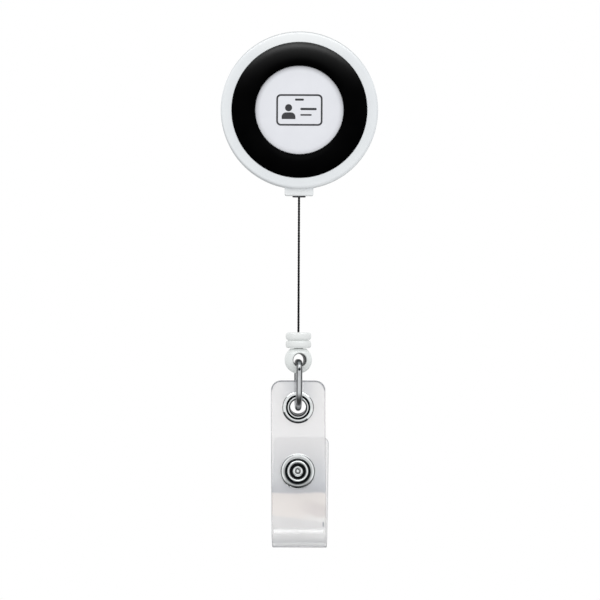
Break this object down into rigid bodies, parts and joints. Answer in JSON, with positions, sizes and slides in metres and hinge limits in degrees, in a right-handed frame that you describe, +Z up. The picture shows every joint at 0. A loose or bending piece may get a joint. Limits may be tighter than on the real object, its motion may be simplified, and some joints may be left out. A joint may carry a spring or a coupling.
{
  "type": "retractable badge reel",
  "caption": "Round retractable badge reel with a dark trim ring, belt clip, pull cord, ball-end swivel, wire link and a clear snap strap.",
  "frame": {"origin": "middle of the label's front face, on the spool's axis", "axes": "+Z up along the hanging cord, the labelled face looks along -Y, +X to the right as seen from the front"},
  "size_m": [0.032, 0.0137, 0.1051],
  "materials": {
    "housing_white": "glossy moulded ABS, fine texture",
    "ring_black": "satin black moulded plastic",
    "label_white": "satin printed label stock",
    "guide_dark": "smooth low-friction plastic",
    "spool_grey": "natural acetal",
    "spring_steel": "blued spring steel",
    "retainer_tan": "fibre disc",
    "cord_black": "braided nylon cord",
    "stop_white": "glossy moulded plastic",
    "nickel": "nickel plate",
    "brass": "plain brass",
    "clip_steel": "nickel-plated spring steel",
    "vinyl": "flexible milky clear vinyl"
  },
  "bodies": {
    "reel": {"front_cover": "housing_white", "back_cover": "housing_white", "trim_ring": "ring_black", "label_disc": "label_white", "cord_guide": "guide_dark", "clip_rivet": "nickel", "rivet_washer": "brass", "cord_lead": "cord_black"},
    "spool": {"spool": "spool_grey", "power_spring": "spring_steel", "spring_retainer": "retainer_tan", "cord_wound": "cord_black"},
    "cord_end": {"cord": "cord_black", "cord_stop": "stop_white"},
    "ball": {"ball_end": "stop_white"},
    "link": {"link": "nickel"},
    "strap": {"strap_front": "vinyl", "strap_fold": "vinyl", "eyelet": "nickel", "eyelet_washer": "nickel", "snap_ring": "nickel", "snap_socket": "nickel", "snap_spring": "spring_steel"},
    "flap": {"strap_flap": "vinyl", "snap_stud": "nickel", "snap_cap": "nickel"},
    "clip": {"clip_plate": "clip_steel"},
    "clip_arm": {"clip_tongue": "clip_steel"}
  },
  "joints": [
    {"name": "cord_pull", "type": "slide", "parent": "reel", "child": "cord_end", "axis": [0, 0, -1], "range_m": [-0.0274, 0.836], "stiffness_N_per_m": 0.5, "springref_m": -0.0274, "deforming": ["cord"]},
    {"name": "spool_spin", "type": "hinge", "parent": "reel", "child": "spool", "pos_m": [0, 0.0042, 0], "axis": [0, 1, 0], "range_deg": [-140, 4200]},
    {"name": "ball_swivel", "type": "hinge", "parent": "cord_end", "child": "ball", "pos_m": [0, 0.0042, -0.0484], "axis": [0, 0, 1], "continuous": true},
    {"name": "link_swing", "type": "hinge", "parent": "ball", "child": "link", "pos_m": [0, 0.0042, -0.05132], "axis": [0, 1, 0], "range_deg": [-60, 60]},
    {"name": "strap_swing", "type": "hinge", "parent": "link", "child": "strap", "pos_m": [0, 0.0042, -0.06058], "axis": [0, 1, 0], "range_deg": [-60, 60]},
    {"name": "flap_open", "type": "hinge", "parent": "strap", "child": "flap", "pos_m": [0, 0.0051, -0.08735], "axis": [-1, 0, 0], "range_deg": [0, 170], "deforming": ["strap_fold"]},
    {"name": "clip_swivel", "type": "hinge", "parent": "reel", "child": "clip", "pos_m": [0, 0.00985, 0], "axis": [0, 1, 0], "continuous": true},
    {"name": "clip_flex", "type": "hinge", "parent": "clip", "child": "clip_arm", "pos_m": [0, 0.01115, 0.012], "axis": [1, 0, 0], "range_deg": [0, 12], "stiffness_Nm_per_rad": 0.3}
  ],
  "couplings": [
    {"joint": "spool_spin", "follows": "cord_pull", "rad_per_m": 86.957}
  ]
}
